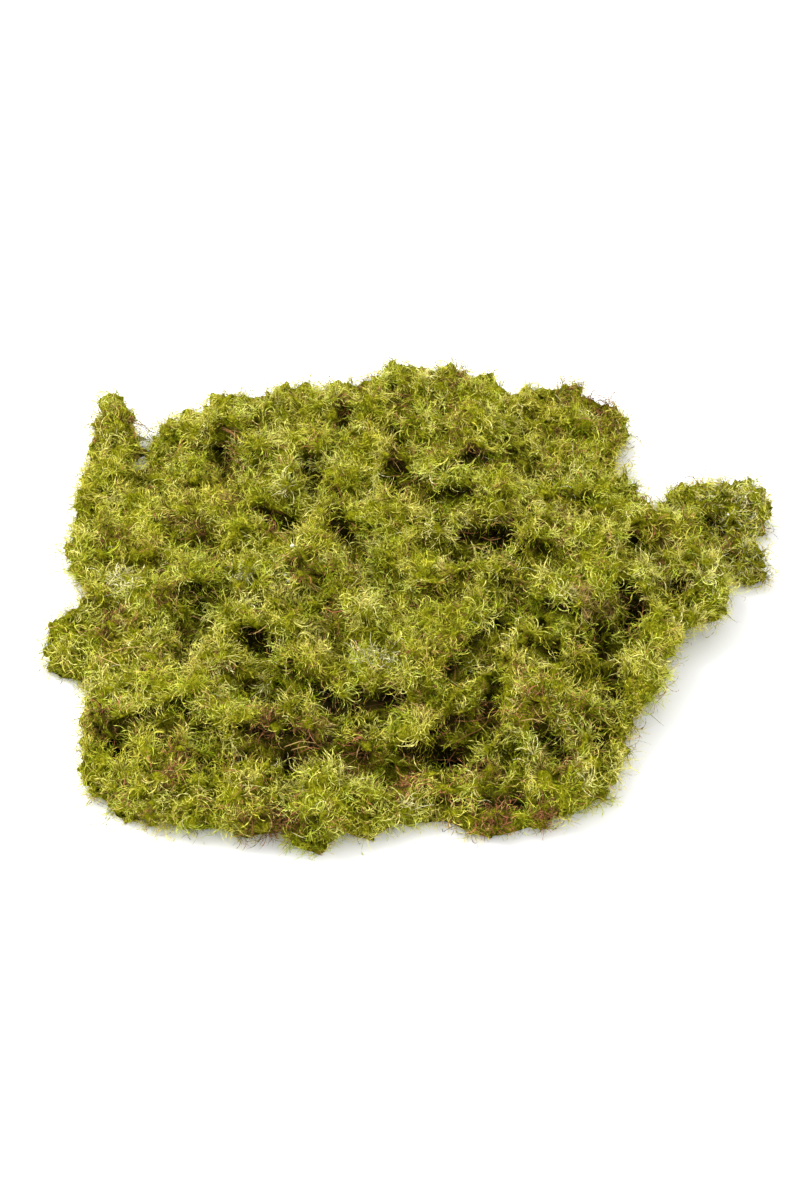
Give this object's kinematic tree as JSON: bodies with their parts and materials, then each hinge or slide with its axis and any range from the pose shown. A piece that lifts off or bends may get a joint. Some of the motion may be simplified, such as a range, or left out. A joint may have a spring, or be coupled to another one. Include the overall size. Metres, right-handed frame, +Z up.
{
  "type": "moss clump",
  "caption": "Loose, roundish mat of dried green moss with soft cushions, dark creases and ragged lobes, lying on its flat underside.",
  "frame": {"origin": "on the underside, at the middle of the mat's length and width", "axes": "+X along the longer side, towards the lobed flap; +Y towards the back edge with the finger; +Z up from the flat underside"},
  "size_m": [0.2782, 0.2602, 0.0356],
  "materials": {
    "moss_green": "matt"
  },
  "bodies": {
    "root": {"moss_mat": "moss_green"}
  },
  "joints": []
}
